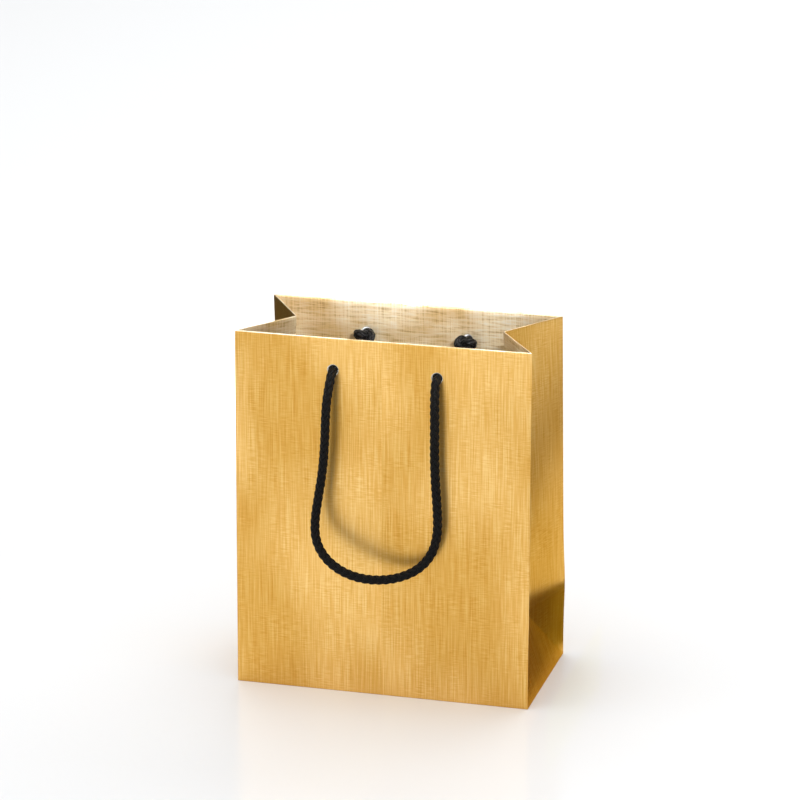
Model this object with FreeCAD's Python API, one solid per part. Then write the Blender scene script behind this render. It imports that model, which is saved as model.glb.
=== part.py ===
import FreeCAD, Part
import math
import os

os.makedirs("parts", exist_ok=True)
Vector = FreeCAD.Vector

# A gusseted gift bag standing open. Millimetres; X across the front, Y from front to back,
# Z up; the origin is the middle of the base, on the surface that the bag stands on.

# ---- driving dimensions ----------------------------------------------------------------
BAG_WIDTH = 180.0
BAG_DEPTH = 95.0
BAG_HEIGHT = 220.0
PAPER = 0.4                  # embossed, laminated paper
CARD = 0.8                   # stiffening cards behind the handle holes
BOARD = 1.0                  # greyboard glued into the base
CORD_DIAMETER = 5.5
HOLE_SPACING = 63.0          # between the two holes of one handle
HOLE_OFFSET = {"front": 1.8, "back": 0.0}    # middle of a pair of holes, off the bag's middle
HOLE_DROP = 19.5             # from the top edge down to a hole
HEM_DEPTH = 40.0             # how far the top edge is turned in
CREASE_HEIGHT = 43.5         # the crease round the gussets, above the base

# how far the standing bag has closed at its top
FRONT_LEAN = 2.5
BACK_LEAN = 13.0
BACK_LEAN_AT_CREASE = 1.0
TOP_TUCK = 26.0              # gusset fold, in from the side, at the mouth
CREASE_TUCK = 14.0           # the same fold where it meets the crease
TOP_FOLD_Y = -6.5

# ---- sizes that follow -------------------------------------------------------------------
HALF_WIDTH = BAG_WIDTH / 2
HALF_DEPTH = BAG_DEPTH / 2
CORD_RADIUS = CORD_DIAMETER / 2
PAPER_HOLE_RADIUS = CORD_RADIUS + 0.8
INNER_HOLE_RADIUS = CORD_RADIUS + 0.3
STACK = PAPER + CARD + PAPER           # panel, card and hem
STACK_END = 2.5                        # the card and hem stop short of the corner
PIVOT_STAND_OFF = CORD_RADIUS + 0.5    # a handle's hinge line, out from the panel
TUBE_START = CORD_RADIUS + 0.3         # where the hanging cord begins, from its exit
KNOT_RADIUS = 6.3
KNOT_GAP = 0.1                         # knot to hem
TAIL_LENGTH = 15.0                     # cut end, from the knot's centre
TAIL_TURN = 35.0                       # cut end, in from straight down
TAIL_RADIUS = CORD_RADIUS - 0.2
FLAP_GAP = 0.1                         # bottom flaps and board to the walls
FLAP_OVERLAP = 14.0                    # front and back bottom flaps past the middle
SIDE_FLAP_LENGTH = 39.0
BOARD_CORNER = 3.0
SEAM_WIDTH = 14.0
SEAM_INSET = 2.0
SEAM_START = 4.0                       # seam flap's lower end, above the base
ARC_SHARE = 0.45                       # an arc's tangent, as a share of the shorter run

# A hanging handle's route from one exit to the other: across from the middle of its holes, down the
# wall from the hinge line, and out from it. Its runs shorten towards the exits, where the cord turns in.
HANDLE_ROUTE = [
    (-31.8, 5.1, 2.0), (-32.3, 10.1, 3.8), (-33.0, 17.7, 5.7), (-33.3, 28.3, 7.0), (-33.6, 42.2, 7.4),
    (-34.8, 58.7, 7.7), (-37.2, 75.4, 9.0), (-38.6, 88.9, 12.0), (-36.8, 100.4, 15.9), (-30.1, 109.2, 19.3),
    (-19.8, 115.9, 20.8), (-8.1, 119.8, 19.3), (3.6, 121.0, 15.5), (14.8, 119.3, 11.2), (24.6, 114.2, 7.8),
    (31.4, 105.4, 5.6), (34.4, 93.7, 4.6), (34.2, 79.4, 4.5), (33.0, 63.1, 4.8), (32.3, 47.3, 5.0),
    (32.3, 30.5, 4.9), (32.1, 18.9, 4.4), (31.7, 10.3, 3.0), (31.6, 5.0, 1.7),
]


# ---- the folded sheet --------------------------------------------------------------------
def mirrored(point):
    return Vector(-point.x, point.y, point.z)


def outer_corners():
    """The sheet's outer corners on the right side, by name."""
    crease_share = CREASE_HEIGHT / BAG_HEIGHT
    return {
        "front_base": Vector(HALF_WIDTH, -HALF_DEPTH, 0),
        "back_base": Vector(HALF_WIDTH, HALF_DEPTH, 0),
        "front_crease": Vector(HALF_WIDTH, -HALF_DEPTH + FRONT_LEAN * crease_share, CREASE_HEIGHT),
        "back_crease": Vector(HALF_WIDTH, HALF_DEPTH - BACK_LEAN_AT_CREASE, CREASE_HEIGHT),
        "apex": Vector(HALF_WIDTH - CREASE_TUCK, 0, CREASE_HEIGHT),
        "front_top": Vector(HALF_WIDTH, -HALF_DEPTH + FRONT_LEAN, BAG_HEIGHT),
        "back_top": Vector(HALF_WIDTH, HALF_DEPTH - BACK_LEAN, BAG_HEIGHT),
        "fold_top": Vector(HALF_WIDTH - TOP_TUCK, TOP_FOLD_Y, BAG_HEIGHT),
    }


OUTER = outer_corners()
MIDDLE = Vector(0, 0, BAG_HEIGHT / 2)


def plane(first, second, third):
    """A plane as its unit normal, pointing out of the bag, and its distance along it."""
    normal = (second - first).cross(third - first)
    normal.normalize()
    if normal.dot(MIDDLE - first) > 0:
        normal = normal * -1
    return normal, normal.dot(first)


def plane_of(*names):
    return plane(*[OUTER[name] for name in names])


FRONT = plane(OUTER["front_base"], OUTER["front_top"], mirrored(OUTER["front_base"]))
BACK_LOWER = plane(OUTER["back_base"], OUTER["back_crease"], mirrored(OUTER["back_base"]))
BACK = plane(OUTER["back_crease"], OUTER["back_top"], mirrored(OUTER["back_crease"]))
GUSSET_FRONT_LOW = plane_of("front_crease", "front_top", "apex")
GUSSET_FRONT_TOP = plane_of("apex", "front_top", "fold_top")
GUSSET_BACK_LOW = plane_of("back_crease", "back_top", "apex")
GUSSET_BACK_TOP = plane_of("apex", "back_top", "fold_top")
BASE_TRIANGLE = plane_of("front_base", "back_base", "apex")


def meeting_point(planes, depth, level=None):
    """Where three planes meet once each has moved into the bag by depth; a level stays put."""
    faces = [(normal, distance - depth) for normal, distance in planes]
    if level is not None:
        faces.append((Vector(0, 0, 1), level))
    (n1, d1), (n2, d2), (n3, d3) = faces
    total = n2.cross(n3) * d1 + n3.cross(n1) * d2 + n1.cross(n2) * d3
    return total * (1 / n1.dot(n2.cross(n3)))


def corners_at(depth):
    """The sheet's corners on a surface that lies depth inside its outer face."""
    if depth == 0:
        right = OUTER
    else:
        right = {
            "front_base": meeting_point([FRONT, BASE_TRIANGLE], depth, 0),
            "back_base": meeting_point([BACK_LOWER, BASE_TRIANGLE], depth, 0),
            "front_crease": meeting_point([FRONT, GUSSET_FRONT_LOW], depth, CREASE_HEIGHT),
            "back_crease": meeting_point([BACK, GUSSET_BACK_LOW], depth, CREASE_HEIGHT),
            "apex": meeting_point([GUSSET_FRONT_LOW, GUSSET_BACK_LOW, BASE_TRIANGLE], depth),
            "front_top": meeting_point([FRONT, GUSSET_FRONT_TOP], depth, BAG_HEIGHT),
            "back_top": meeting_point([BACK, GUSSET_BACK_TOP], depth, BAG_HEIGHT),
            "fold_top": meeting_point([GUSSET_FRONT_TOP, GUSSET_BACK_TOP], depth, BAG_HEIGHT),
        }
    points = {}
    for name, point in right.items():
        points["right_" + name] = point
        points["left_" + name] = mirrored(point)
    return points


def polygon_face(points):
    return Part.Face(Part.makePolygon(points + [points[0]]))


def layer(polygons, depth_from, depth_to):
    """The solid between two depths below the named polygons, which share their inner edges."""
    near = corners_at(depth_from)
    far = corners_at(depth_to)
    faces = []
    for names in polygons:
        faces.append(polygon_face([near[name] for name in names]))
        faces.append(polygon_face([far[name] for name in names]))
    edges = [frozenset(pair) for names in polygons for pair in zip(names, names[1:] + names[:1])]
    for edge in edges:
        if edges.count(edge) == 1:
            start, end = sorted(edge)
            faces.append(polygon_face([near[start], near[end], far[end]]))
            faces.append(polygon_face([near[start], far[end], far[start]]))
    shell = Part.Shell(faces)
    shell.sewShape()
    solid = Part.Solid(shell)
    if solid.Volume < 0:
        solid.reverse()
    return solid


def block(x_range, y_range, z_range):
    size = [high - low for low, high in (x_range, y_range, z_range)]
    return Part.makeBox(*size, Vector(x_range[0], y_range[0], z_range[0]))


def slice_of(solid, x_range, z_range):
    """The stretch of a wall between two widths and two heights."""
    return solid.common(block(x_range, (-BAG_DEPTH, BAG_DEPTH), z_range)).Solids[0]


FRONT_OUTLINE = [["left_front_base", "right_front_base", "right_front_crease",
                  "right_front_top", "left_front_top", "left_front_crease"]]
BACK_OUTLINE = [["left_back_base", "right_back_base", "right_back_crease", "left_back_crease"],
                ["left_back_crease", "right_back_crease", "right_back_top", "left_back_top"]]
SIDE_OUTLINES = {
    "gusset_front": [["front_crease", "front_top", "apex"], ["apex", "front_top", "fold_top"]],
    "gusset_back": [["back_crease", "back_top", "apex"], ["apex", "back_top", "fold_top"]],
    "base_triangle": [["front_base", "back_base", "apex"]],
    "corner_front": [["front_base", "front_crease", "apex"]],
    "corner_back": [["back_base", "back_crease", "apex"]],
}


def side_outline(side, name):
    return [[side + "_" + corner for corner in names] for names in SIDE_OUTLINES[name]]


# ---- the handles' holes ------------------------------------------------------------------
def wall_frame(face):
    """A wall's outward normal and the point on its outer face level with the holes, at x = 0."""
    normal, distance = FRONT if face == "front" else BACK
    height = BAG_HEIGHT - HOLE_DROP
    depth = (distance - normal.z * height) / normal.y
    return normal, Vector(0, depth, height)


def hole_x(face, side):
    toward = -1 if side == "left" else 1
    return HOLE_OFFSET[face] + toward * HOLE_SPACING / 2


def hole_drill(face, radius):
    """Two cylinders that punch a wall's holes, long enough to reach through every layer."""
    normal, centre = wall_frame(face)
    reach = normal * (3 * STACK)
    drills = []
    for side in ("left", "right"):
        start = centre + Vector(hole_x(face, side), 0, 0) - reach
        drills.append(Part.makeCylinder(radius, 2 * reach.Length, start, normal))
    return drills[0].fuse(drills[1])


# ---- walls, hems and cards ---------------------------------------------------------------
def wall(face):
    outline = FRONT_OUTLINE if face == "front" else BACK_OUTLINE
    return layer(outline, 0, PAPER).cut(hole_drill(face, PAPER_HOLE_RADIUS)).Solids[0]


def stiffening_card(face):
    outline = FRONT_OUTLINE if face == "front" else BACK_OUTLINE
    half = HALF_WIDTH - STACK_END
    sheet = layer(outline, PAPER, PAPER + CARD)
    card = slice_of(sheet, (-half, half), (BAG_HEIGHT - HEM_DEPTH, BAG_HEIGHT - PAPER))
    return card.cut(hole_drill(face, INNER_HOLE_RADIUS)).Solids[0]


def wall_hem(face):
    """The top edge turned in: a strip over the card's edge and a leg down its inner face."""
    outline = FRONT_OUTLINE if face == "front" else BACK_OUTLINE
    half = HALF_WIDTH - STACK_END
    leg = slice_of(layer(outline, PAPER + CARD, STACK), (-half, half),
                   (BAG_HEIGHT - HEM_DEPTH, BAG_HEIGHT))
    strip = slice_of(layer(outline, PAPER, PAPER + CARD), (-half, half),
                     (BAG_HEIGHT - PAPER, BAG_HEIGHT))
    hem = leg.fuse(strip).removeSplitter()
    return hem.cut(hole_drill(face, INNER_HOLE_RADIUS)).Solids[0]


def gusset_hem(side, name):
    sheet = layer(side_outline(side, name), PAPER, 2 * PAPER)
    return slice_of(sheet, (-BAG_WIDTH, BAG_WIDTH), (BAG_HEIGHT - HEM_DEPTH, BAG_HEIGHT))


def seam_flap():
    """The glued lap that closes the sheet into a tube, inside the back panel's left edge."""
    left = -HALF_WIDTH + SEAM_INSET
    sheet = layer(BACK_OUTLINE, PAPER, 2 * PAPER)
    return slice_of(sheet, (left, left + SEAM_WIDTH), (SEAM_START, BAG_HEIGHT - HEM_DEPTH - FLAP_GAP))


# ---- base --------------------------------------------------------------------------------
def plate(outline, bottom, thickness):
    face = polygon_face([Vector(x, y, bottom) for x, y in outline])
    return face.extrude(Vector(0, 0, thickness))


def long_bottom_flap(face):
    """The front or back panel's flap: the front one is outermost and the back one lies on it."""
    toward = -1 if face == "front" else 1
    level = 0 if face == "front" else PAPER
    half = HALF_WIDTH - 3 * PAPER
    wall_side = toward * (HALF_DEPTH - PAPER - FLAP_GAP)
    free_side = -toward * FLAP_OVERLAP
    outline = [(-half, wall_side), (half, wall_side), (half, free_side), (-half, free_side)]
    return plate(outline, level, PAPER)


def side_bottom_flap(side):
    """A gusset's flap, folded in first, with corners mitred at 45 degrees."""
    toward = 1 if side == "right" else -1
    wall_end = HALF_WIDTH - 3 * PAPER
    free_end = wall_end - SIDE_FLAP_LENGTH
    wide = HALF_DEPTH - 2 * PAPER
    narrow = wide - SIDE_FLAP_LENGTH
    outline = [(toward * wall_end, -wide), (toward * wall_end, wide),
               (toward * free_end, narrow), (toward * free_end, -narrow)]
    return plate(outline, 2 * PAPER, PAPER)


def base_board():
    half_x = HALF_WIDTH - 5 * PAPER
    half_y = HALF_DEPTH - 3 * PAPER
    outline = [(half_x, half_y - BOARD_CORNER), (half_x - BOARD_CORNER, half_y),
               (-half_x + BOARD_CORNER, half_y), (-half_x, half_y - BOARD_CORNER),
               (-half_x, -half_y + BOARD_CORNER), (-half_x + BOARD_CORNER, -half_y),
               (half_x - BOARD_CORNER, -half_y), (half_x, -half_y + BOARD_CORNER)]
    return plate(outline, 3 * PAPER, BOARD)


# ---- handles -----------------------------------------------------------------------------
def pivot_point(face):
    """The point at x = 0 on a handle's hinge line, which passes through both its exits."""
    normal, centre = wall_frame(face)
    return centre + normal * PIVOT_STAND_OFF


def exit_point(face, side):
    return pivot_point(face) + Vector(hole_x(face, side), 0, 0)


def knot(face, side):
    """A stopper knot inside the wall, its cut end, and the neck that runs out to the hinge line."""
    normal, _ = wall_frame(face)
    neck_end = exit_point(face, side)
    reach = PIVOT_STAND_OFF + STACK + KNOT_GAP + KNOT_RADIUS
    centre = neck_end - normal * reach
    turn = math.radians(TAIL_TURN)
    inward = -1 if normal.y > 0 else 1
    tail_direction = Vector(0, inward * math.sin(turn), -math.cos(turn))
    solids = [
        Part.makeSphere(CORD_RADIUS, neck_end),
        Part.makeCylinder(CORD_RADIUS, reach, neck_end, normal * -1),
        Part.makeSphere(KNOT_RADIUS, centre),
        Part.makeCylinder(TAIL_RADIUS, TAIL_LENGTH, centre, tail_direction),
    ]
    return solids[0].multiFuse(solids[1:]).Solids[0]


def rounded_path(points):
    """Straight runs joined by tangent arcs, the arcs' radii, and the path's length."""
    edges = []
    radii = []
    start = points[0]
    for before, corner, after in zip(points, points[1:], points[2:]):
        to_before = (before - corner).normalize()
        to_after = (after - corner).normalize()
        half_turn = (math.pi - to_before.getAngle(to_after)) / 2
        tangent = ARC_SHARE * min((before - corner).Length, (after - corner).Length)
        radius = tangent / math.tan(half_turn)
        centre_way = (to_before + to_after).normalize()
        middle = corner + centre_way * (radius / math.cos(half_turn) - radius)
        arc_start = corner + to_before * tangent
        arc_end = corner + to_after * tangent
        edges.append(Part.LineSegment(start, arc_start).toShape())
        edges.append(Part.Arc(arc_start, middle, arc_end).toShape())
        radii.append(radius)
        start = arc_end
    edges.append(Part.LineSegment(start, points[-1]).toShape())
    return Part.Wire(edges), radii, sum(edge.Length for edge in edges)


def handle_route(face):
    """Every point of a handle's route, from just outside one exit to just outside the other."""
    normal, _ = wall_frame(face)
    along_hinge = Vector(0, 0, 1).cross(normal).normalize()
    down = along_hinge.cross(normal)
    origin = pivot_point(face) + Vector(HOLE_OFFSET[face], 0, 0)
    route = [origin + along_hinge * across + down * drop + normal * out for across, drop, out in HANDLE_ROUTE]
    to_exit = along_hinge * (HOLE_SPACING / 2)
    first_way = (route[0] - origin + to_exit).normalize()
    last_way = (route[-1] - origin - to_exit).normalize()
    return [origin - to_exit + first_way * TUBE_START] + route + [origin + to_exit + last_way * TUBE_START]


def handle_cord(face):
    """The hanging loop of one handle, from just outside one exit round to the other."""
    route = handle_route(face)
    path, radii, length = rounded_path(route)
    section = Part.makeCircle(CORD_RADIUS, route[0], route[1] - route[0])
    tube = path.makePipeShell([Part.Wire(section)], True, True)
    expected = math.pi * CORD_RADIUS ** 2 * length
    print(face, "handle: length %.1f, volume over section times length %.4f" % (length, tube.Volume / expected))
    print("  arc radii:", ", ".join("%.1f" % radius for radius in radii))
    return tube


# ---- every node --------------------------------------------------------------------------
def all_nodes():
    nodes = {"base_board": base_board(), "side_seam_flap": seam_flap()}
    for face in ("front", "back"):
        nodes[face + "_panel"] = wall(face)
        nodes[face + "_card"] = stiffening_card(face)
        nodes[face + "_hem"] = wall_hem(face)
        nodes[face + "_bottom_flap"] = long_bottom_flap(face)
        nodes[face + "_knot_left"] = knot(face, "left")
        nodes[face + "_knot_right"] = knot(face, "right")
        nodes[face + "_handle_cord"] = handle_cord(face)
    for side in ("left", "right"):
        for name in SIDE_OUTLINES:
            nodes[side + "_" + name] = layer(side_outline(side, name), 0, PAPER)
        nodes[side + "_hem_front"] = gusset_hem(side, "gusset_front")
        nodes[side + "_hem_back"] = gusset_hem(side, "gusset_back")
        nodes[side + "_bottom_flap"] = side_bottom_flap(side)
    return nodes


for node_name, shape in all_nodes().items():
    assert shape.isValid() and len(shape.Solids) == 1 and shape.Volume > 0, node_name
    shape.exportStep("parts/" + node_name + ".step")
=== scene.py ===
import math
from collections import namedtuple

import bmesh
import bpy
import numpy as np
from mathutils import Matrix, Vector, noise


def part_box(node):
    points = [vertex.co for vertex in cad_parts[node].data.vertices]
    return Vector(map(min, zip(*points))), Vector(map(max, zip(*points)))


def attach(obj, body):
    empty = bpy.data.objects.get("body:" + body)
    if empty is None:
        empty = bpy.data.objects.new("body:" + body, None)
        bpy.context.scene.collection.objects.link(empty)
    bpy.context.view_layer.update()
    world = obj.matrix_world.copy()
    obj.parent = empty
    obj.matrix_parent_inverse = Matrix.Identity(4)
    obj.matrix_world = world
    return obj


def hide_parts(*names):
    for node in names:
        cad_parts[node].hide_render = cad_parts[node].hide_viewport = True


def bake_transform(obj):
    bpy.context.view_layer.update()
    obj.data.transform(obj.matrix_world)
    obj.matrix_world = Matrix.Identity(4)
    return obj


# A gusseted gift bag of embossed gold paper with two braided cord handles. Metres, in the
# frame's own axes: X across the front, Y from front to back, Z up.

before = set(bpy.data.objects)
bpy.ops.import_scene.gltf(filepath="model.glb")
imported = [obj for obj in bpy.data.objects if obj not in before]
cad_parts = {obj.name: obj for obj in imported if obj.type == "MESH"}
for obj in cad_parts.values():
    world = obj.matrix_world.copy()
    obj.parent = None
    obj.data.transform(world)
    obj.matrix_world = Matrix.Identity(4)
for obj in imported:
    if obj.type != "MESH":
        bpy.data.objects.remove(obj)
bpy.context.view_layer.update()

# ---- sizes -------------------------------------------------------------------------------
MM = 0.001
FRONT_LOW, FRONT_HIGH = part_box("front_panel")
HALF_WIDTH = FRONT_HIGH.x
HALF_DEPTH = -FRONT_LOW.y
HEIGHT = FRONT_HIGH.z
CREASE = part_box("right_base_triangle")[1].z      # the crease round the gussets
PAPER = 0.4 * MM
CARD = 0.8 * MM
STACK = 2 * PAPER + CARD                         # panel, card and hem
HEM_DEPTH = 40 * MM
FRONT_LEAN = 2.5 * MM
BACK_LEAN = 13 * MM
BACK_LEAN_AT_CREASE = 1 * MM
TOP_TUCK = 26 * MM
CREASE_TUCK = 14 * MM
TOP_FOLD_Y = -6.5 * MM
HOLE_SPACING = 63 * MM
HOLE_DROP = 19.5 * MM
HOLE_OFFSET = {"front": 1.8 * MM, "back": 0.0}   # middle of a pair of holes
CORD_DIAMETER = 5.5 * MM
CORD_RADIUS = CORD_DIAMETER / 2
PAPER_HOLE_RADIUS = CORD_RADIUS + 0.8 * MM
CARD_HOLE_RADIUS = CORD_RADIUS + 0.3 * MM
PIVOT_STAND_OFF = CORD_RADIUS + 0.5 * MM

# A handle's route in millimetres: across from the middle of its holes, down the wall from the
# hinge line, and out from it.
HANDLE_ROUTE = [
    (-31.8, 5.1, 2.0), (-32.3, 10.1, 3.8), (-33.0, 17.7, 5.7), (-33.3, 28.3, 7.0), (-33.6, 42.2, 7.4),
    (-34.8, 58.7, 7.7), (-37.2, 75.4, 9.0), (-38.6, 88.9, 12.0), (-36.8, 100.4, 15.9), (-30.1, 109.2, 19.3),
    (-19.8, 115.9, 20.8), (-8.1, 119.8, 19.3), (3.6, 121.0, 15.5), (14.8, 119.3, 11.2), (24.6, 114.2, 7.8),
    (31.4, 105.4, 5.6), (34.4, 93.7, 4.6), (34.2, 79.4, 4.5), (33.0, 63.1, 4.8), (32.3, 47.3, 5.0),
    (32.3, 30.5, 4.9), (32.1, 18.9, 4.4), (31.7, 10.3, 3.0), (31.6, 5.0, 1.7),
]

# ---- camera ------------------------------------------------------------------------------
CAMERA_AIM = Vector((-1.3 * MM, 0, 170.5 * MM))
CAMERA_DISTANCE = 2.3408
CAMERA_AZIMUTH = math.radians(15.12)
CAMERA_ELEVATION = math.radians(17.64)
CAMERA_LENS = 176.6


def add_camera():
    data = bpy.data.cameras.new("camera")
    data.lens = CAMERA_LENS
    data.sensor_width = 36
    data.clip_end = 50
    camera = bpy.data.objects.new("camera", data)
    bpy.context.scene.collection.objects.link(camera)
    level = math.cos(CAMERA_ELEVATION)
    away = Vector((math.sin(CAMERA_AZIMUTH) * level, -math.cos(CAMERA_AZIMUTH) * level,
                   math.sin(CAMERA_ELEVATION)))
    camera.location = CAMERA_AIM + away * CAMERA_DISTANCE
    camera.rotation_euler = (math.pi / 2 - CAMERA_ELEVATION, 0, CAMERA_AZIMUTH)
    bpy.context.scene.camera = camera


# ---- material helpers --------------------------------------------------------------------
class Nodes:
    """A material and short ways to add and join its nodes."""

    def __init__(self, name):
        self.material = bpy.data.materials.new(name)
        self.material.use_nodes = True
        self.tree = self.material.node_tree
        self.shader = self.tree.nodes["Principled BSDF"]

    def add(self, kind, settings=None, **inputs):
        node = self.tree.nodes.new("ShaderNode" + kind)
        for key, value in (settings or {}).items():
            setattr(node, key, value)
        for key, value in inputs.items():
            self.feed(node.inputs[key.replace("_", " ")], value)
        return node

    def feed(self, socket, value):
        if isinstance(value, bpy.types.NodeSocket):
            self.tree.links.new(value, socket)
        else:
            socket.default_value = value

    def set(self, **inputs):
        for key, value in inputs.items():
            self.feed(self.shader.inputs[key.replace("_", " ")], value)

    def math(self, operation, first, second):
        node = self.add("Math", {"operation": operation})
        self.feed(node.inputs[0], first)
        self.feed(node.inputs[1], second)
        return node.outputs[0]

    def noise(self, vector, scale=1.0, detail=2.0, roughness=0.5):
        node = self.add("TexNoise", Vector=vector, Scale=scale, Detail=detail, Roughness=roughness)
        return node.outputs["Fac"]

    def stretch(self, vector, scale, offset=(0, 0, 0)):
        node = self.add("Mapping", Vector=vector)
        node.inputs["Scale"].default_value = scale
        node.inputs["Location"].default_value = offset
        return node.outputs["Vector"]

    def ramp(self, value, *stops):
        """A colour ramp through (position, grey or colour) stops."""
        node = self.add("ValToRGB", Fac=value)
        elements = node.color_ramp.elements
        while len(elements) < len(stops):
            elements.new(0.5)
        for element, (position, colour) in zip(elements, stops):
            element.position = position
            element.color = (*colour, 1) if isinstance(colour, tuple) else (colour,) * 3 + (1,)
        return node.outputs["Color"]

    def blend(self, share, first, second, mode="MIX"):
        node = self.add("MixRGB", {"blend_type": mode}, Fac=share)
        self.feed(node.inputs["Color1"], first)
        self.feed(node.inputs["Color2"], second)
        return node.outputs["Color"]

    def bump(self, height, strength, distance):
        node = self.add("Bump", Height=height, Strength=strength, Distance=distance)
        self.set(Normal=node.outputs["Normal"])


def sheet_coordinates(nodes):
    """Metres along the folded sheet: across it and up it."""
    return nodes.add("UVMap", {"uv_map": "sheet"}).outputs["UV"]


def linen_height(nodes, place):
    """The emboss: long fine upright threads, with sparse groups of short threads across them."""
    upright = nodes.noise(nodes.stretch(place, (1050, 24, 1)), detail=1.0, roughness=0.6)
    fine = nodes.noise(nodes.stretch(place, (1900, 42, 1), (3, 7, 1)), detail=1.0)
    dashes = nodes.noise(nodes.stretch(place, (150, 1600, 1), (5, 2, 3)), detail=1.0)
    patches = nodes.ramp(nodes.noise(nodes.stretch(place, (60, 42, 1), (2, 3, 0)), detail=3.0, roughness=0.6),
                         (0.40, 0.22), (0.62, 1.0))
    crossing = nodes.math("MULTIPLY", nodes.math("SUBTRACT", dashes, 0.5), patches)
    total = nodes.math("ADD", nodes.math("MULTIPLY", upright, 0.46), nodes.math("MULTIPLY", fine, 0.62))
    return nodes.math("ADD", total, nodes.math("MULTIPLY", crossing, 0.62))


# the film's colour in the hollows (painted shade), on the slopes and on the tips of the threads (painted
# highlight), and edge-on
THREAD_HOLLOW_PAINTED_SHADE = (0.74, 0.400, 0.085)
THREAD_MIDDLE = (0.84, 0.495, 0.135)
THREAD_TIP_PAINTED_HIGHLIGHT = (0.95, 0.650, 0.250)
FILM_EDGE_TINT = (0.95, 0.56, 0.08, 1)


def film_colour(nodes, place, height):
    """Gold that is darker in the thread hollows, a painted shade, and paler on the threads' tips, a painted
    highlight, with wide soft random clouds of paler and deeper film.
    """
    # painted shade in the hollows and painted highlights on the tips, set by the emboss's height
    colour = nodes.ramp(height, (0.30, THREAD_HOLLOW_PAINTED_SHADE), (0.50, THREAD_MIDDLE), (0.72, THREAD_TIP_PAINTED_HIGHLIGHT))
    tone = nodes.noise(nodes.stretch(place, (15, 10, 1), (0.4, 0.9, 0)), detail=1.0)
    return nodes.blend(1.0, colour, nodes.ramp(tone, (0.38, (0.83, 0.76, 0.55)), (0.60, (1.0, 1.0, 1.0))),
                       "MULTIPLY")


def gold_linen():
    """Metallised gold film laminated to paper and embossed like linen."""
    nodes = Nodes("gold_linen")
    place = sheet_coordinates(nodes)
    height = linen_height(nodes, place)
    nodes.set(Base_Color=film_colour(nodes, place, height), Metallic=0.95,
              Roughness=nodes.ramp(height, (0.30, 0.38), (0.70, 0.29)), Specular_Tint=FILM_EDGE_TINT,
              Coat_Weight=0.08, Coat_Roughness=0.22)
    nodes.bump(height, strength=0.36, distance=0.08 * MM)
    return nodes.material


# the gold film's edge tint, painted paler to go with its painted highlight
PAINTED_HIGHLIGHT_EDGE_TINT = (1.0, 0.86, 0.62, 1)       # the paler film, seen edge-on


def gold_linen_painted_highlight():
    """The same embossed gold film where the top edge is rolled and turned in, painted paler as a painted
    highlight, and softer; its hollows carry painted shade and its threads' tips painted highlights.
    """
    nodes = Nodes("gold_linen_painted_highlight")
    place = sheet_coordinates(nodes)
    height = linen_height(nodes, place)
    weft = nodes.noise(nodes.stretch(place, (70, 620, 1), (1, 4, 2)), detail=2.0, roughness=0.6)
    relief = nodes.math("ADD", nodes.math("MULTIPLY", height, 0.4), nodes.math("MULTIPLY", weft, 0.6))
    # painted shade in the hollows and painted highlights on the weft's tips
    colour = nodes.ramp(relief, (0.34, (0.52, 0.37, 0.17)), (0.50, (0.92, 0.79, 0.55)),
                        (0.66, (1.0, 0.96, 0.86)))
    cloud = nodes.noise(nodes.stretch(place, (24, 30, 1), (0.3, 0.1, 0)), detail=2.0)
    colour = nodes.blend(1.0, colour, nodes.ramp(cloud, (0.36, (0.72, 0.60, 0.42)), (0.60, (1.0, 1.0, 1.0))),
                         "MULTIPLY")
    nodes.set(Base_Color=colour, Metallic=0.80, Roughness=nodes.ramp(relief, (0.30, 0.48), (0.70, 0.34)),
              Specular_Tint=PAINTED_HIGHLIGHT_EDGE_TINT, Coat_Weight=0.15, Coat_Roughness=0.3)
    nodes.bump(relief, strength=1.0, distance=0.30 * MM)
    return nodes.material


def plain_paper(name, light, dark):
    """Uncoated paper with a faint fibre."""
    nodes = Nodes(name)
    place = nodes.add("TexCoord").outputs["Object"]
    fibre = nodes.noise(place, 900, 4.0, 0.7)
    clouds = nodes.noise(place, 45, 2.0)
    shade = nodes.math("ADD", nodes.math("MULTIPLY", fibre, 0.6), nodes.math("MULTIPLY", clouds, 0.4))
    nodes.set(Base_Color=nodes.ramp(shade, (0.3, dark), (0.7, light)), Roughness=0.85)
    nodes.bump(fibre, strength=0.25, distance=0.08 * MM)
    return nodes.material


def grey_board():
    """Recycled greyboard: flecks of dark and light fibre in a warm grey."""
    nodes = Nodes("grey_board")
    place = nodes.add("TexCoord").outputs["Object"]
    fibre = nodes.noise(nodes.stretch(place, (1.0, 2.2, 1.0)), 420, 5.0, 0.75)
    flecks = nodes.noise(place, 1500, 1.0)
    base = nodes.ramp(fibre, (0.3, (0.44, 0.41, 0.36)), (0.7, (0.60, 0.57, 0.51)))
    dark = nodes.ramp(flecks, (0.28, 0.45), (0.34, 1.0))
    nodes.set(Base_Color=nodes.blend(1.0, base, dark, "MULTIPLY"), Roughness=0.9)
    nodes.bump(fibre, strength=0.3, distance=0.10 * MM)
    return nodes.material


def black_cord():
    """Spun black yarn: fine filaments along each strand, with a soft sheen."""
    nodes = Nodes("black_cord")
    along = nodes.add("UVMap", {"uv_map": "strand"}).outputs["UV"]
    filaments = nodes.noise(nodes.stretch(along, (260, 9, 1)), detail=3.0, roughness=0.7)
    lint = nodes.noise(nodes.add("TexCoord").outputs["Object"], 1300, 2.0)
    shade = nodes.ramp(filaments, (0.30, (0.0010, 0.0009, 0.0009)), (0.62, (0.0036, 0.0033, 0.0032)),
                       (0.85, (0.014, 0.013, 0.013)))
    flecks = nodes.ramp(lint, (0.62, 0.0), (0.85, 0.30))
    nodes.set(Base_Color=nodes.blend(flecks, shade, (0.026, 0.025, 0.026, 1)), Roughness=0.55,
              Specular_IOR_Level=0.16, Sheen_Weight=0.02, Sheen_Roughness=0.40)
    nodes.bump(filaments, strength=0.6, distance=0.15 * MM)
    return nodes.material


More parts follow.
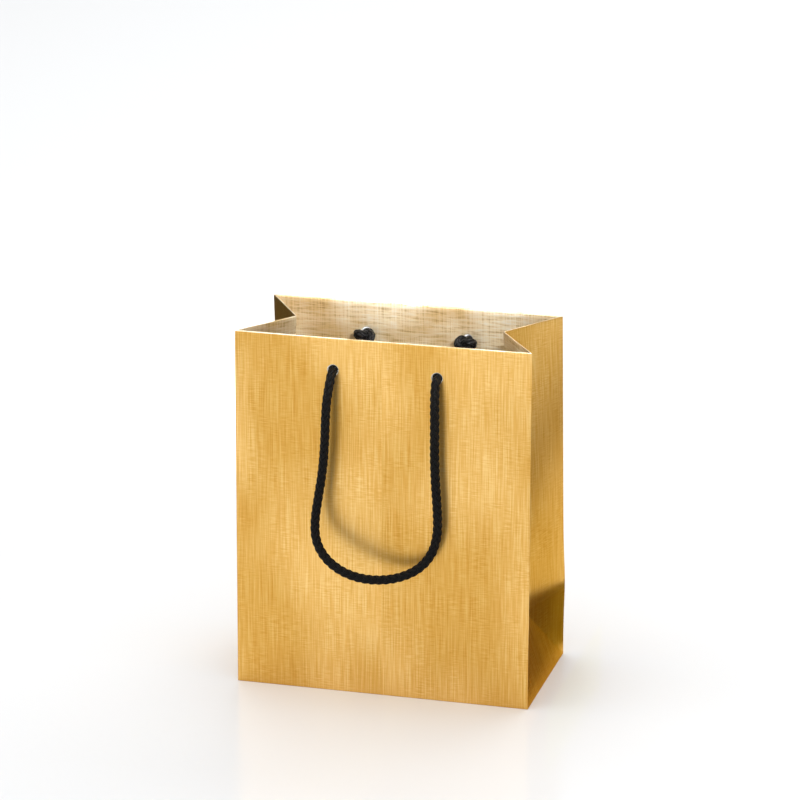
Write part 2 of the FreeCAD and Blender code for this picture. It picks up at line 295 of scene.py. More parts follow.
# ---- the handles -------------------------------------------------------------------------
CARRIERS = 6                     # strands each way round
BRAID_PITCH = 25 * MM
BRAID_RADIUS = 1.92 * MM
BRAID_RISE = 0.36 * MM
STRAND_HALF_WIDTH = 1.0 * MM
STRAND_HALF_THICKNESS = 0.58 * MM
STRAND_SIDES = 6
CORE_RADIUS = 1.5 * MM
STATION = 0.62 * MM              # spacing of a strand's cross-sections
CORD_END_DEPTH = 2.5 * MM        # the handle's cord ends in its knot, this far behind the hem
TURN_IN = 1.6 * MM               # and is straight from here, behind the hinge line


def wall_at_holes(face):
    """A wall's outward normal, and the point of its outer face level with the holes at x = 0."""
    level = HEIGHT - HOLE_DROP
    if face == "front":
        slope = FRONT_LEAN / HEIGHT
        return Vector((0, -1, slope)).normalized(), Vector((0, -HALF_DEPTH + slope * level, level))
    slope = (BACK_LEAN - BACK_LEAN_AT_CREASE) / (HEIGHT - CREASE)
    depth = HALF_DEPTH - BACK_LEAN_AT_CREASE - slope * (level - CREASE)
    return Vector((0, 1, slope)).normalized(), Vector((0, depth, level))


def pivot_point(face):
    normal, place = wall_at_holes(face)
    return place + normal * PIVOT_STAND_OFF


def hole_centre(face, side):
    """The middle of a hole on a wall's outer face; side is -1 for left and 1 for right."""
    _, place = wall_at_holes(face)
    return place + Vector((HOLE_OFFSET[face] + side * HOLE_SPACING / 2, 0, 0))


def handle_controls(face):
    """The whole cord's control points: in from one knot, down round the loop, and back in."""
    normal, _ = wall_at_holes(face)
    along_hinge = Vector((0, 0, 1)).cross(normal).normalized()
    down = along_hinge.cross(normal)
    origin = pivot_point(face) + Vector((HOLE_OFFSET[face], 0, 0))
    loop = [origin + (along_hinge * across + down * drop + normal * out) * MM
            for across, drop, out in HANDLE_ROUTE]
    first = origin - along_hinge * HOLE_SPACING / 2
    last = origin + along_hinge * HOLE_SPACING / 2
    inside = normal * -(PIVOT_STAND_OFF + STACK + CORD_END_DEPTH)
    bend = normal * -TURN_IN
    return [first + inside, first + bend] + loop + [last + bend, last + inside]


def spline_line(controls, spacing):
    """Points along the NURBS spline of these control points, evenly spaced."""
    data = bpy.data.curves.new("route", "CURVE")
    data.dimensions = "3D"
    data.resolution_u = 40
    spline = data.splines.new("NURBS")
    spline.points.add(len(controls) - 1)
    for point, place in zip(spline.points, controls):
        point.co = (*place, 1)
    spline.order_u = 3
    spline.use_endpoint_u = True
    holder = bpy.data.objects.new("route", data)
    mesh = bpy.data.meshes.new_from_object(holder)
    dense = np.array([vertex.co for vertex in mesh.vertices])
    bpy.data.objects.remove(holder)
    bpy.data.curves.remove(data)
    bpy.data.meshes.remove(mesh)
    return evenly(dense, spacing)


def evenly(dense, spacing):
    """The same line with its points a constant distance apart."""
    steps = np.linalg.norm(np.diff(dense, axis=0), axis=1)
    along = np.concatenate([[0], np.cumsum(steps)])
    count = max(2, int(round(along[-1] / spacing)) + 1)
    targets = np.linspace(0, along[-1], count)
    return np.column_stack([np.interp(targets, along, dense[:, axis]) for axis in range(3)])


def line_frames(line):
    """Two normals along a line that don't twist round it."""
    tangents = np.gradient(line, axis=0)
    tangents /= np.linalg.norm(tangents, axis=1)[:, None]
    start = np.cross(tangents[0], (0.3, 0.1, 1.0))
    normals = [start / np.linalg.norm(start)]
    for tangent in tangents[1:]:
        carried = normals[-1] - tangent * np.dot(normals[-1], tangent)
        normals.append(carried / np.linalg.norm(carried))
    normals = np.array(normals)
    return normals, np.cross(tangents, normals)


def tube_rings(centre, radial, sideways, radius_out, radius_side, sides):
    turns = 2 * math.pi * np.arange(sides) / sides
    return (centre[:, None, :]
            + radius_out * np.cos(turns)[None, :, None] * radial[:, None, :]
            + radius_side * np.sin(turns)[None, :, None] * sideways[:, None, :])


def braided_cord(name, line, thin=1.0):
    """A braided cord along a line: a core inside six strands each way, over two and under two."""
    first, second = line_frames(line)
    along = np.concatenate([[0], np.cumsum(np.linalg.norm(np.diff(line, axis=0), axis=1))])
    tubes = [tube_rings(line, first, second, CORE_RADIUS * thin, CORE_RADIUS * thin, 8)]
    crossings = 2 * CARRIERS * along / BRAID_PITCH
    for way in (1, -1):
        for carrier in range(CARRIERS):
            angle = 2 * math.pi * (carrier / CARRIERS + way * along / BRAID_PITCH)
            if way == 1:
                phase = math.pi / 2 * (crossings - 0.5) + math.pi * carrier
            else:
                phase = math.pi / 2 * (2 * carrier - crossings - 2.5)
            reach = (BRAID_RADIUS + BRAID_RISE * np.cos(phase)) * thin
            radial = np.cos(angle)[:, None] * first + np.sin(angle)[:, None] * second
            centre = line + reach[:, None] * radial
            heading = np.gradient(centre, axis=0)
            sideways = np.cross(heading, radial)
            sideways /= np.linalg.norm(sideways, axis=1)[:, None]
            tubes.append(tube_rings(centre, radial, sideways, STRAND_HALF_THICKNESS * thin,
                                    STRAND_HALF_WIDTH * thin, STRAND_SIDES))
    return mesh_of_tubes(name, tubes, along)


def mesh_of_tubes(name, tubes, along):
    """One mesh of closed tubes, with a UV map of metres along and turns around."""
    vertices = []
    faces = []
    coordinates = []
    for number, rings in enumerate(tubes):
        base = len(vertices)
        count, sides, _ = rings.shape
        vertices.extend(map(tuple, rings.reshape(-1, 3)))
        for row in range(count - 1):
            for side in range(sides):
                after = (side + 1) % sides
                low = base + row * sides
                high = low + sides
                faces.append((low + side, low + after, high + after, high + side))
                left, right = side / sides, (side + 1) / sides
                shift = 0.37 * number
                coordinates.extend([(along[row] + shift, left), (along[row] + shift, right),
                                    (along[row + 1] + shift, right), (along[row + 1] + shift, left)])
        for low, order in ((base, -1), (base + (count - 1) * sides, 1)):
            faces.append(tuple(low + side for side in range(sides))[::order])
            coordinates.extend([(0.0, 0.0)] * sides)
    mesh = bpy.data.meshes.new(name)
    mesh.from_pydata(vertices, [], faces)
    layer = mesh.uv_layers.new(name="strand")
    layer.data.foreach_set("uv", np.array(coordinates, dtype=np.float32).ravel())
    mesh.polygons.foreach_set("use_smooth", [True] * len(mesh.polygons))
    piece = bpy.data.objects.new(name, mesh)
    bpy.context.scene.collection.objects.link(piece)
    return piece


KNOT_SIZE = 1.95 * MM            # one unit of the trefoil
KNOT_WIDTH = 0.88                # the trefoil's stretch across the wall, up it and out of it
KNOT_HEIGHT = 0.80
KNOT_THICKNESS = 0.9
KNOT_STEPS = 48
KNOT_CENTRE_DEPTH = PIVOT_STAND_OFF + STACK + 4.9 * MM
KNOT_DROP = 1.6 * MM             # the handle's weight pulls it down
KNOT_OPENING = 0.62              # radians left out of the trefoil where its two ends part
KNOT_THIN = 0.88                 # pulled tight, the cord is a little thinner in the knot
TAIL_TURN = math.radians(35)
TAIL_LENGTH = 15 * MM
KNOT_NECK = 1.2 * MM             # straight in from the hole before the knot begins


def knot_line(face, side):
    """An overhand knot, a trefoil flat to the wall: one end runs to the hole, one is the tail."""
    normal, _ = wall_at_holes(face)
    middle = hole_centre(face, side) + normal * (PIVOT_STAND_OFF - KNOT_CENTRE_DEPTH)
    centre = middle - Vector((0, 0, KNOT_DROP))
    inward = -normal
    across = Vector((side, 0, 0))
    upward = across.cross(inward)
    if upward.z < 0:
        upward = -upward
    points = []
    half = math.pi - KNOT_OPENING
    for step in range(KNOT_STEPS + 1):
        t = -half + 2 * half * step / KNOT_STEPS
        u = math.sin(t) + 2 * math.sin(2 * t)
        v = math.cos(t) - 2 * math.cos(2 * t)
        w = -math.sin(3 * t) * KNOT_THICKNESS
        points.append(centre + (across * u * KNOT_WIDTH + upward * v * KNOT_HEIGHT + inward * w) * KNOT_SIZE)
    hole = middle + normal * (KNOT_CENTRE_DEPTH - PIVOT_STAND_OFF)
    entry = [hole, hole - normal * KNOT_NECK]
    tail_way = (inward * math.sin(TAIL_TURN) + Vector((0, 0, -math.cos(TAIL_TURN)))).normalized()
    tail = [centre + tail_way * TAIL_LENGTH * share for share in (0.72, 1.0)]
    return entry + points + tail


def add_handle(face, finish):
    """A braided cord hung from the hinge line, with a knot tied behind each of its holes."""
    controls = handle_controls(face)
    line = spline_line(controls, STATION)
    cord = braided_cord(face + "_braided_cord", line)
    cord.data.materials.append(finish)
    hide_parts(face + "_handle_cord")
    for word, side in (("left", -1), ("right", 1)):
        route = spline_line(knot_line(face, side), STATION)
        knot = braided_cord(face + "_stopper_" + word, route, KNOT_THIN)
        knot.data.materials.append(finish)
        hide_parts(face + "_knot_" + word)
        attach(knot, "root")
    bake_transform(cord)


# ---- the folded sheet --------------------------------------------------------------------
WALL_COLUMNS = 46                # from the middle of a wall to its corner
GUSSET_COLUMNS = 24              # from a corner to the gusset's fold
CORNER_RADIUS = 0.6 * MM
UPPER_STEP = 2.6 * MM            # between sections above the crease
ROLL_STEPS = 6                   # sections round the rolled top edge
HEM_STEPS = 14
# the fourth finish is the gold film painted paler: a painted highlight on the rolled top edge and the
# turned-in hem
GOLD, EDGE, INSIDE, GOLD_PAINTED_HIGHLIGHT = range(4)         # the sheet's finishes


def crossing(first, first_way, second, second_way):
    """Where two lines in the plane cross."""
    across = first_way[0] * second_way[1] - first_way[1] * second_way[0]
    gap = (second[0] - first[0], second[1] - first[1])
    share = (gap[0] * second_way[1] - gap[1] * second_way[0]) / across
    return Vector((first[0] + first_way[0] * share, first[1] + first_way[1] * share))


def inset(point, way, depth):
    """A point moved to the left of a direction."""
    left = Vector((-way[1], way[0])).normalized()
    return Vector(point) + left * depth


def front_y(z):
    return -HALF_DEPTH + FRONT_LEAN * z / HEIGHT


def back_y(z):
    if z < CREASE:
        return HALF_DEPTH - BACK_LEAN_AT_CREASE * z / CREASE
    share = (z - CREASE) / (HEIGHT - CREASE)
    return HALF_DEPTH - BACK_LEAN_AT_CREASE - (BACK_LEAN - BACK_LEAN_AT_CREASE) * share


def gusset_stations(z):
    """The right gusset's outer stations at a height: corner, ridge, ridge, corner, and headings."""
    front = Vector((HALF_WIDTH, front_y(z)))
    back = Vector((HALF_WIDTH, back_y(z)))
    if z < CREASE:
        share = z / CREASE
        front_way = Vector((-CREASE_TUCK, -front_y(CREASE)))
        back_way = Vector((-CREASE_TUCK, -back_y(CREASE)))
        ridge_x = HALF_WIDTH - CREASE_TUCK * share
        ridge_front = Vector((ridge_x, -HALF_DEPTH * (1 - share)))
        ridge_back = Vector((ridge_x, HALF_DEPTH * (1 - share)))
        return front, ridge_front, ridge_back, back, front_way, back_way
    share = (z - CREASE) / (HEIGHT - CREASE)
    fold = Vector((HALF_WIDTH - CREASE_TUCK - (TOP_TUCK - CREASE_TUCK) * share, TOP_FOLD_Y * share))
    return front, fold, fold, back, fold - front, fold - back


def right_section(z, wall_depth, gusset_depth):
    """Corner, ridge, ridge, corner on the right, all moved into the bag by their depths."""
    front, ridge, _, back, front_way, back_way = gusset_stations(z)
    front_gusset = inset(front, front_way, gusset_depth)
    back_gusset = inset(back, -back_way, gusset_depth)
    front_wall = front + Vector((0, wall_depth))
    back_wall = back - Vector((0, wall_depth))
    corner_front = crossing(front_wall, Vector((1, 0)), front_gusset, front_way)
    corner_back = crossing(back_wall, Vector((1, 0)), back_gusset, back_way)
    if z < CREASE:
        middle = Vector((ridge.x - gusset_depth, 0))
        upright = Vector((0, 1))
        inner_front = crossing(middle, upright, front_gusset, front_way)
        inner_back = crossing(middle, upright, back_gusset, back_way)
        return corner_front, inner_front, inner_back, corner_back
    fold = crossing(front_gusset, front_way, back_gusset, back_way)
    return corner_front, fold, fold, corner_back


def gusset_shares():
    """Positions across half a gusset, from 0 at the corner to 1 at the fold."""
    shares = [step / GUSSET_COLUMNS for step in range(GUSSET_COLUMNS)]
    return shares + [1 - 0.5 / 47.5, 1.0]


SHARES = gusset_shares()


def rounded_corner(corner, before, after, reach):
    """Four points that round a folded corner."""
    start = corner + (before - corner).normalized() * reach
    end = corner + (after - corner).normalized() * reach
    points = []
    for t in (0, 1 / 3, 2 / 3, 1):
        points.append(start * (1 - t) ** 2 + corner * 2 * t * (1 - t) + end * t ** 2)
    return points


def half_gusset(corner, ridge, centre, row):
    """Points from just past a corner to the gusset's centre. Below the crease the diagonal crease
    passes through the point whose number equals the row's, so it falls on the mesh's own edges."""
    points = []
    for index, share in enumerate(SHARES[1:], start=1):
        if row is None:
            points.append(corner.lerp(centre, share))
        elif index <= row:
            points.append(corner.lerp(ridge, share / SHARES[row]))
        else:
            points.append(ridge.lerp(centre, (share - SHARES[row]) / (1 - SHARES[row])))
    return points


def ring(z, wall_depth=0.0, gusset_depth=0.0, row=None):
    """One closed section of the sheet as (x, y) points, anticlockwise from the front's middle."""
    corner_front, ridge_front, ridge_back, corner_back = right_section(z, wall_depth, gusset_depth)
    if row is None:
        centre = ridge_front.lerp(ridge_back, 0.5)
    else:
        centre = Vector((ridge_front.x, 0))
    toward_front = ridge_front if (ridge_front - corner_front).length > 2 * CORNER_RADIUS else centre
    toward_back = ridge_back if (ridge_back - corner_back).length > 2 * CORNER_RADIUS else centre
    middle_front = Vector((0, corner_front.y))
    middle_back = Vector((0, corner_back.y))
    front_round = rounded_corner(corner_front, middle_front, toward_front, CORNER_RADIUS)
    back_round = rounded_corner(corner_back, toward_back, middle_back, CORNER_RADIUS)
    wall_shares = [step / WALL_COLUMNS for step in range(WALL_COLUMNS)]
    points = [middle_front.lerp(front_round[0], share) for share in wall_shares]
    points += front_round
    rising = half_gusset(corner_front, ridge_front, centre, row)
    falling = half_gusset(corner_back, ridge_back, centre, row)
    if row is None:
        rising[-1] = rising[-1].lerp(rising[-2].lerp(falling[-2], 0.5), 0.5)
    points += rising
    points += falling[-2::-1]
    points += back_round
    points += [back_round[-1].lerp(middle_back, share) for share in wall_shares[1:]] + [middle_back]
    left = [Vector((-point.x, point.y)) for point in points[-2:0:-1]]
    return points + left


def column_places():
    """For each column: how far round the sheet it is, and what part of the sheet it is on."""
    half_wall = HALF_WIDTH - CORNER_RADIUS
    wall = [("front", half_wall * step / WALL_COLUMNS) for step in range(WALL_COLUMNS)]
    corner = [("corner", half_wall + CORNER_RADIUS * 2 * step / 3) for step in range(4)]
    start = HALF_WIDTH
    gusset = [("gusset", start + HALF_DEPTH * share) for share in SHARES[1:]]
    right = wall + corner + gusset
    right += [("gusset", start + HALF_DEPTH * (2 - share)) for share in SHARES[-2:0:-1]]
    turn = start + 2 * HALF_DEPTH
    right += [("corner", turn - CORNER_RADIUS + CORNER_RADIUS * 2 * step / 3) for step in range(4)]
    right += [("back", turn + CORNER_RADIUS + half_wall * step / WALL_COLUMNS)
              for step in range(1, WALL_COLUMNS)] + [("back", turn + HALF_WIDTH)]
    total = 2 * (turn + HALF_WIDTH)
    left = [(part, total - along) for part, along in right[-2:0:-1]]
    return right + left, total


PLACES, PERIMETER = column_places()


# how far the standing paper leaves its flat planes
WALL_WAVE = 0.55 * MM
WALL_RIPPLE = 0.16 * MM
WALL_SEED = {"front": 3.0, "back": 17.0}
LIP_BOW = {"front": 0.5 * MM, "back": 1.6 * MM}  # the lips of the mouth bow outward
LIP_START = 0.68 * HEIGHT
GUSSET_PUFF = 1.1 * MM
GUSSET_WAVE = 0.5 * MM
CORNER_BULGE = 0.9 * MM          # the back's uprights, level with the crease
CREASE_RIDGE = 0.28 * MM


def settled(part, x, y, z, along):
    """How far the standing paper has moved from its flat planes at one place."""
    side = 1 if x > 0 else -1
    outer = min(abs(x) / HALF_WIDTH, 1)
    shift = Vector((0, 0, 0))
    if part in ("front", "back"):
        free = math.cos(outer * math.pi / 2)
        low = min(z / (25 * MM), 1)
        waves = noise.noise(Vector((x / 0.075, z / 0.085, WALL_SEED[part])))
        ripple = noise.noise(Vector((x / 0.030, z / 0.050, WALL_SEED[part] + 5)))
        lip = max(0.0, (z - LIP_START) / (HEIGHT - LIP_START)) ** 2
        out = free * (low * (WALL_WAVE * waves + WALL_RIPPLE * ripple) + LIP_BOW[part] * lip)
        shift.y = -out if part == "front" else out
    elif part == "gusset":
        share = 1 - abs((along % (PERIMETER / 2)) - HALF_WIDTH - HALF_DEPTH) / HALF_DEPTH
        free = math.sin(math.pi * min(max(share, 0), 1))
        high = min(max((z - CREASE) / (30 * MM), 0), 1)
        puff = GUSSET_PUFF * math.sin(math.pi * min(max((z - CREASE) / (HEIGHT - CREASE), 0), 1))
        waves = noise.noise(Vector((y / 0.030, z / 0.060, 9.0 * side)))
        ridge = math.exp(-((z - CREASE) / (0.7 * MM)) ** 2)
        shift.x = side * (free * high * (puff + GUSSET_WAVE * waves) + CREASE_RIDGE * ridge)
    if y > 0 and part != "front":
        near = math.exp(-((z - CREASE) / (24 * MM)) ** 2)
        shift.x += side * CORNER_BULGE * outer ** 8 * near
    return shift * min(1.0, 4 * z / HEIGHT)


def lower_rows():
    """(height, structure row) from the base to the crease."""
    return [(CREASE * share, number) for number, share in enumerate(SHARES)]


def upper_heights(top):
    """Heights from just above the crease to the top."""
    heights = [CREASE + 0.5 * MM, CREASE + 1.1 * MM, CREASE + 2.2 * MM]
    steps = int(math.ceil((top - heights[-1]) / UPPER_STEP))
    return heights + [heights[-1] + (top - heights[-1]) * step / steps for step in range(1, steps + 1)]


# one section of the sheet: its height (or its turn over the rolled top edge), how deep its walls and
# gussets lie, its number below the crease, its length along the sheet, and its finish
Row = namedtuple("Row", "height wall_depth gusset_depth number along finish")


def sheet_rows():
    """Every section of the sheet in order: up the outside, over the turned-in top, and down inside."""
    rows = [(0.0, 0.50 * MM, 0.50 * MM, 0, 0.0, EDGE), (0.0, 0.34 * MM, 0.34 * MM, 0, 0.0, GOLD),
            (0.12 * MM, 0.10 * MM, 0.10 * MM, 0, 0.0, GOLD)]
    rows += [(z if number else 0.4 * MM, 0.0, 0.0, number, z, GOLD) for z, number in lower_rows()]
    wall_roll = STACK / 2
    gusset_roll = PAPER
    top = HEIGHT - wall_roll
    rows += [(z, 0.0, 0.0, None, z, GOLD) for z in upper_heights(top)]
    # past its first step the rolled top edge takes the paler gold, a painted highlight along the fold
    for step in range(1, ROLL_STEPS + 1):
        turn = math.pi * step / ROLL_STEPS
        rows.append((("roll", turn), wall_roll * (1 - math.cos(turn)), gusset_roll * (1 - math.cos(turn)),
                     None, top + wall_roll * turn, GOLD_PAINTED_HIGHLIGHT if step > 1 else GOLD))
    rolled = top + wall_roll * math.pi
    hem_foot = HEIGHT - HEM_DEPTH
    # the turned-in hem takes the paler gold too, a painted highlight
    for step in range(1, HEM_STEPS + 1):
        z = top + (hem_foot + 3.5 * MM - top) * step / HEM_STEPS
        rows.append((z, STACK, 2 * PAPER, None, rolled + top - z, GOLD_PAINTED_HIGHLIGHT))
    rows.append((hem_foot + 1.6 * MM, 1.25 * MM, 2 * PAPER, None, rolled + top - hem_foot, GOLD_PAINTED_HIGHLIGHT))
    rows.append((hem_foot + 0.2 * MM, 2 * PAPER, 2 * PAPER, None, rolled + top - hem_foot, GOLD_PAINTED_HIGHLIGHT))
    rows.append((hem_foot, 2 * PAPER - 0.05 * MM, 2 * PAPER - 0.05 * MM, None, 0.0, EDGE))
    rows.append((hem_foot - 0.02 * MM, PAPER + 0.02 * MM, PAPER + 0.02 * MM, None, 0.0, EDGE))
    # the inside of the sheet takes the dark buff paper, which paints the shade inside the bag
    inside = upper_heights(hem_foot - 0.6 * MM)
    rows += [(z, PAPER, PAPER, None, z, INSIDE) for z in reversed(inside)]
    rows += [(z, PAPER, PAPER, number, z, INSIDE) for z, number in reversed(lower_rows()) if z > 0.5 * MM]
    rows.append((0.5 * MM, 0.50 * MM, 0.50 * MM, 0, 0.0, INSIDE))
    return [Row(*row) for row in rows]


def section_points(row):
    """The finished points of one section, settled and with the rolled top edge's heights."""
    rolled = isinstance(row.height, tuple)
    level = HEIGHT - STACK / 2 if rolled else row.height
    points = []
    for (part, along), flat in zip(PLACES, ring(level, row.wall_depth, row.gusset_depth, row.number)):
        height = level
        if rolled:
            roll = PAPER if part == "gusset" else STACK / 2
            height = HEIGHT - roll * (1 - math.sin(row.height[1]))
        place = Vector((flat.x, flat.y, height))
        points.append(place + settled(part, flat.x, flat.y, height, along))
    return points


def diagonal_split(number, column):
    """Whether the quad above a row at this column carries the diagonal crease, and which way."""
    first = WALL_COLUMNS + 3
    last = first + 2 * (len(SHARES) - 1)
    for start in (first, len(PLACES) - last):
        end = start + last - first
        if column == start + number:
            return "rising"
        if column == end - number - 1:
            return "falling"
    return None


def quad_groups(split, flipped):
    """A quad's corners as one face, or as two where a diagonal crease runs across it."""
    if split is None:
        return [(0, 1, 2, 3)]
    if (split == "rising") != flipped:
        return [(0, 1, 2), (0, 2, 3)]
    return [(0, 1, 3), (1, 2, 3)]


def sheet_faces(rows):
    """The faces between the sections, each one's finish, and its corners' places on the sheet."""
    count = len(PLACES)
    arounds = [along for _, along in PLACES] + [PERIMETER]
    faces = []
    finishes = []
    coordinates = []
    for index, row in enumerate(rows):
        upper = rows[(index + 1) % len(rows)]
        low = index * count
        high = ((index + 1) % len(rows)) * count
        creased = row.number is not None and upper.number is not None and abs(row.number - upper.number) == 1
        flipped = creased and upper.number < row.number
        for column in range(count):
            after = (column + 1) % count
            corners = [low + column, low + after, high + after, high + column]
            places = [(arounds[column], row.along), (arounds[column + 1], row.along),
                      (arounds[column + 1], upper.along), (arounds[column], upper.along)]
            split = diagonal_split(min(row.number, upper.number), column) if creased else None
            for group in quad_groups(split, flipped):
                faces.append([corners[item] for item in group])
                coordinates.extend(places[item] for item in group)
                finishes.append(upper.finish)
    return faces, finishes, coordinates


def add_sheet(materials):
    """The whole folded sheet as one closed skin, with its handle holes punched."""
    rows = sheet_rows()
    vertices = [point for row in rows for point in section_points(row)]
    faces, finishes, coordinates = sheet_faces(rows)
    mesh = bpy.data.meshes.new("folded_sheet")
    mesh.from_pydata(vertices, [], faces)
    layer = mesh.uv_layers.new(name="sheet")
    layer.data.foreach_set("uv", np.array(coordinates, dtype=np.float32).ravel())
    for material in materials:
        mesh.materials.append(material)
    mesh.polygons.foreach_set("material_index", finishes)
    mesh.polygons.foreach_set("use_smooth", [True] * len(mesh.polygons))
    sheet = bpy.data.objects.new("folded_sheet", mesh)
    bpy.context.scene.collection.objects.link(sheet)
    punch(sheet, ("front", "back"), PAPER_HOLE_RADIUS, EDGE)
    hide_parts("front_panel", "back_panel", "front_hem", "back_hem", *side_nodes())
    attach(sheet, "root")


def side_nodes():
    names = ("gusset_front", "gusset_back", "base_triangle", "corner_front", "corner_back",
             "hem_front", "hem_back")
    return [side + "_" + name for side in ("left", "right") for name in names]


def punch(piece, walls, radius, finish):
    """Cuts the walls' handle holes through a piece, and gives their edges one of its finishes."""
    for face in walls:
        normal, _ = wall_at_holes(face)
        for side in (-1, 1):
            centre = hole_centre(face, side)
            data = bpy.data.meshes.new("punch")
            shape = bmesh.new()
            bmesh.ops.create_cone(shape, cap_ends=True, segments=40, radius1=radius, radius2=radius,
                                  depth=24 * MM)
            for polygon in shape.faces:
                polygon.material_index = finish
            shape.to_mesh(data)
            shape.free()
            cutter = bpy.data.objects.new("punch", data)
            bpy.context.scene.collection.objects.link(cutter)
            cutter.location = centre
            cutter.rotation_euler = normal.to_track_quat("Z", "Y").to_euler()
            cut = piece.modifiers.new("punch", "BOOLEAN")
            cut.operation = "DIFFERENCE"
            cut.solver = "EXACT"
            cut.object = cutter
            bpy.context.view_layer.update()
            apply_modifiers(piece)
            bpy.data.objects.remove(cutter)


def apply_modifiers(piece):
    graph = bpy.context.evaluated_depsgraph_get()
    finished = bpy.data.meshes.new_from_object(piece.evaluated_get(graph))
    piece.modifiers.clear()
    old = piece.data
    piece.data = finished
    bpy.data.meshes.remove(old)
    finished.set_sharp_from_angle(angle=math.radians(50))


# ---- boards, laps and flaps --------------------------------------------------------------
def wall_patch(name, part, columns, heights, depths, material):
    """A thin sheet that follows a wall's inside between two depths."""
    near, far = depths
    grid = {}
    vertices = []
    for layer, depth in enumerate((near, far)):
        for row, z in enumerate(heights):
            flat_ring = ring(z, depth, depth, None) if z >= CREASE else ring(z, depth, depth, 1)
            for item, column in enumerate(columns):
                flat = flat_ring[column]
                along = PLACES[column][1]
                grid[layer, row, item] = len(vertices)
                vertices.append(Vector((flat.x, flat.y, z)) + settled(part, flat.x, flat.y, z, along))
    faces = []
    tall, wide = len(heights), len(columns)
    for row in range(tall - 1):
        for item in range(wide - 1):
            for layer in (0, 1):
                quad = [grid[layer, row, item], grid[layer, row, item + 1],
                        grid[layer, row + 1, item + 1], grid[layer, row + 1, item]]
                faces.append(quad if layer == 0 else quad[::-1])
    for row in range(tall - 1):
        for item, order in ((0, 1), (wide - 1, -1)):
            faces.append([grid[0, row, item], grid[0, row + 1, item], grid[1, row + 1, item],
                          grid[1, row, item]][::order])
    for item in range(wide - 1):
        for row, order in ((0, -1), (tall - 1, 1)):
            faces.append([grid[0, row, item], grid[0, row, item + 1], grid[1, row, item + 1],
                          grid[1, row, item]][::order])
    mesh = bpy.data.meshes.new(name)
    mesh.from_pydata(vertices, [], faces)
    mesh.materials.append(material)
    piece = bpy.data.objects.new(name, mesh)
    bpy.context.scene.collection.objects.link(piece)
    return piece


def columns_on(part, low, high):
    """The columns of a wall whose x lies between two values, in order."""
    level = ring(HEIGHT * 0.6)
    found = [number for number, (where, _) in enumerate(PLACES)
             if where == part and low <= level[number].x <= high]
    return sorted(found, key=lambda number: level[number].x)


def add_cards(material):
    for face in ("front", "back"):
        columns = columns_on(face, -HALF_WIDTH + 3 * MM, HALF_WIDTH - 3 * MM)
        foot = HEIGHT - HEM_DEPTH + 2 * MM
        top = HEIGHT - 1.0 * MM
        heights = [foot + (top - foot) * step / 10 for step in range(11)]
        depths = (PAPER + 0.02 * MM, PAPER + CARD - 0.02 * MM)
        card = wall_patch(face + "_stiffening_card", face, columns, heights, depths, material)
        punch(card, (face,), CARD_HOLE_RADIUS, 0)
        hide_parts(face + "_card")
        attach(card, "root")


def add_seam_lap(material):
    columns = columns_on("back", -HALF_WIDTH + 1.5 * MM, -HALF_WIDTH + 16.5 * MM)
    foot = 4 * MM
    top = HEIGHT - HEM_DEPTH - 1.5 * MM
    heights = [foot + (top - foot) * step / 60 for step in range(61)]
    lap = wall_patch("glued_seam_lap", "back", columns, heights, (PAPER + 0.02 * MM, 2 * PAPER), material)
    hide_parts("side_seam_flap")
    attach(lap, "root")


def dress_cad_nodes(board, gold):
    for name, material in (("base_board", board), ("front_bottom_flap", gold), ("back_bottom_flap", gold),
                           ("left_bottom_flap", gold), ("right_bottom_flap", gold)):
        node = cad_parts[name]
        node.data.materials.clear()
        node.data.materials.append(material)


def gold_underside():
    """The same gold film on the flaps of the base, which have no sheet coordinates."""
    nodes = Nodes("gold_underside")
    place = nodes.add("TexCoord").outputs["Object"]
    height = linen_height(nodes, place)
    nodes.set(Base_Color=film_colour(nodes, place, height), Metallic=0.95, Roughness=0.34,
              Specular_Tint=FILM_EDGE_TINT, Coat_Weight=0.08, Coat_Roughness=0.22)
    nodes.bump(height, strength=0.45, distance=0.10 * MM)
    return nodes.material


# ---- floor and light ---------------------------------------------------------------------
def add_floor():
    mesh = bpy.data.meshes.new("floor")
    reach = 9.0
    mesh.from_pydata([(-reach, -reach, 0), (reach, -reach, 0), (reach, reach, 0), (-reach, reach, 0)],
                     [], [(0, 1, 2, 3)])
    floor = bpy.data.objects.new("floor", mesh)
    bpy.context.scene.collection.objects.link(floor)
    nodes = Nodes("pale_floor")
    nodes.set(Base_Color=(0.90, 0.91, 0.92, 1), Roughness=0.14, IOR=1.45)
    mesh.materials.append(nodes.material)


def add_area_light(name, place, aim, size, power, spread=180):
    data = bpy.data.lights.new(name, "AREA")
    data.shape = "RECTANGLE"
    data.size = size[0]
    data.size_y = size[1]
    data.energy = power
    data.spread = math.radians(spread)
    light = bpy.data.objects.new(name, data)
    bpy.context.scene.collection.objects.link(light)
    light.location = place
    light.rotation_euler = (Vector(aim) - Vector(place)).to_track_quat("-Z", "Y").to_euler()


def add_card(name, colour, start, end, low, high):
    """A studio flag: an upright matt card, seen only in reflections, between two floor points."""
    mesh = bpy.data.meshes.new(name)
    mesh.from_pydata([(*start, low), (*end, low), (*end, high), (*start, high)], [], [(0, 1, 2, 3)])
    card = bpy.data.objects.new(name, mesh)
    bpy.context.scene.collection.objects.link(card)
    nodes = Nodes(name)
    nodes.set(Base_Color=colour, Roughness=1.0, Specular_IOR_Level=0.0)
    mesh.materials.append(nodes.material)
    card.visible_camera = False
    card.visible_diffuse = False
    card.visible_shadow = False


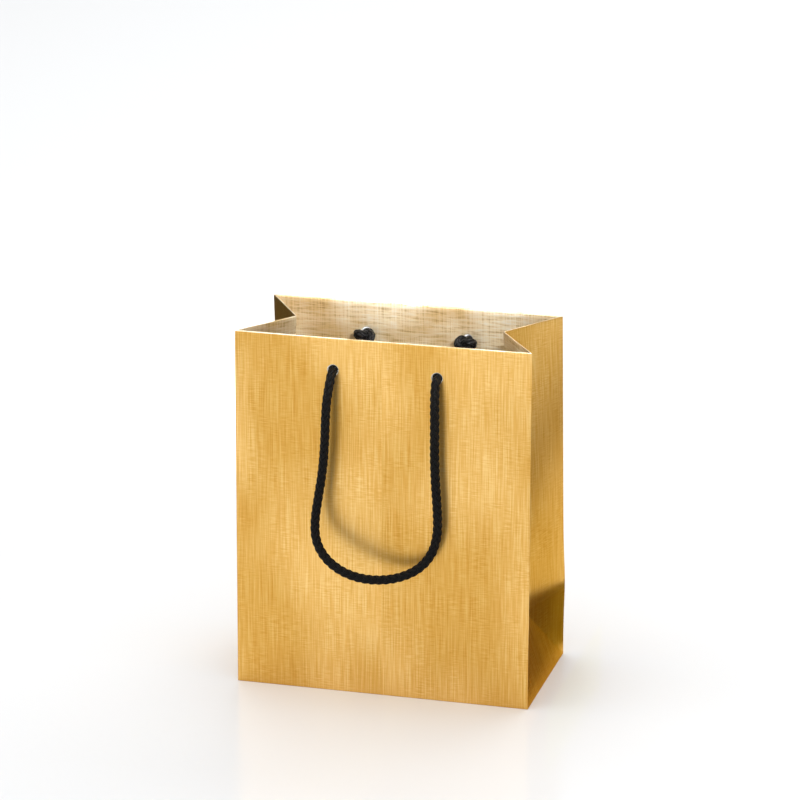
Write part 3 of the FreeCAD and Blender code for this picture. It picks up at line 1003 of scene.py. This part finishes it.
def add_world():
    """A soft world, brighter in front."""
    world = bpy.data.worlds.new("studio")
    bpy.context.scene.world = world
    world.use_nodes = True
    tree = world.node_tree
    background = tree.nodes["Background"]
    direction = tree.nodes.new("ShaderNodeTexCoord").outputs["Generated"]
    facing = tree.nodes.new("ShaderNodeVectorMath")
    facing.operation = "DOT_PRODUCT"
    facing.inputs[1].default_value = (-0.30, -0.92, 0.25)
    tree.links.new(direction, facing.inputs[0])
    ramp = tree.nodes.new("ShaderNodeMapRange")
    for name, value in (("From Min", -0.7), ("From Max", 0.7), ("To Min", 0.28), ("To Max", 0.82)):
        ramp.inputs[name].default_value = value
    tree.links.new(facing.outputs["Value"], ramp.inputs["Value"])
    tree.links.new(ramp.outputs["Result"], background.inputs["Strength"])
    background.inputs["Color"].default_value = (1, 1, 1, 1)


def add_lights():
    """Softboxes overhead and behind, a narrow one aimed into the mouth, a low fill in front, and three
    flags that darken what the right side and the left fold reflect."""
    add_area_light("overhead", (-0.15, -0.05, 1.5), (-0.05, 0.1, 0), (1.5, 1.5), 13.2)
    add_area_light("behind", (0, 2.2, 1.8), (0, 2.1, 0), (3.0, 2.4), 46)
    add_area_light("into_mouth", (0.62, -0.90, 0.92), (-0.02, 0.08, 0.27), (0.12, 0.12), 0.5, 12)
    add_area_light("fill", (-0.35, -1.3, 0.28), (0, 0, 0.11), (0.9, 0.5), 0.6)
    add_card("bronze_card", (0.40, 0.38, 0.008, 1), (0.101, -0.0455), (0.101, 0.105), 0.0, 0.0425)
    add_card("grey_card", (0.32, 0.27, 0.18, 1), (0.37, -0.16), (0.37, 0.32), 0.0, 0.075)
    add_card("black_card", (0.01, 0.01, 0.01, 1), (-0.46, 0.04), (-0.14, 0.42), 0.0, 0.42)
    bpy.context.scene.view_settings.view_transform = "Standard"


# ---- the whole bag -----------------------------------------------------------------------
add_camera()
cord_finish = black_cord()
for wall in ("front", "back"):
    add_handle(wall, cord_finish)
gold = gold_linen()
board = grey_board()
paper_edge = plain_paper("paper_edge", 0.90, 0.80)
# a buff paper darkened to paint the shade inside the bag
paper_inside_painted_shade = plain_paper("paper_inside_painted_shade", (0.52, 0.46, 0.36), (0.42, 0.36, 0.27))
add_sheet([gold, paper_edge, paper_inside_painted_shade, gold_linen_painted_highlight()])
add_cards(board)
add_seam_lap(plain_paper("lap_paper", 0.80, 0.70))
dress_cad_nodes(board, gold_underside())
add_floor()
add_world()
add_lights()
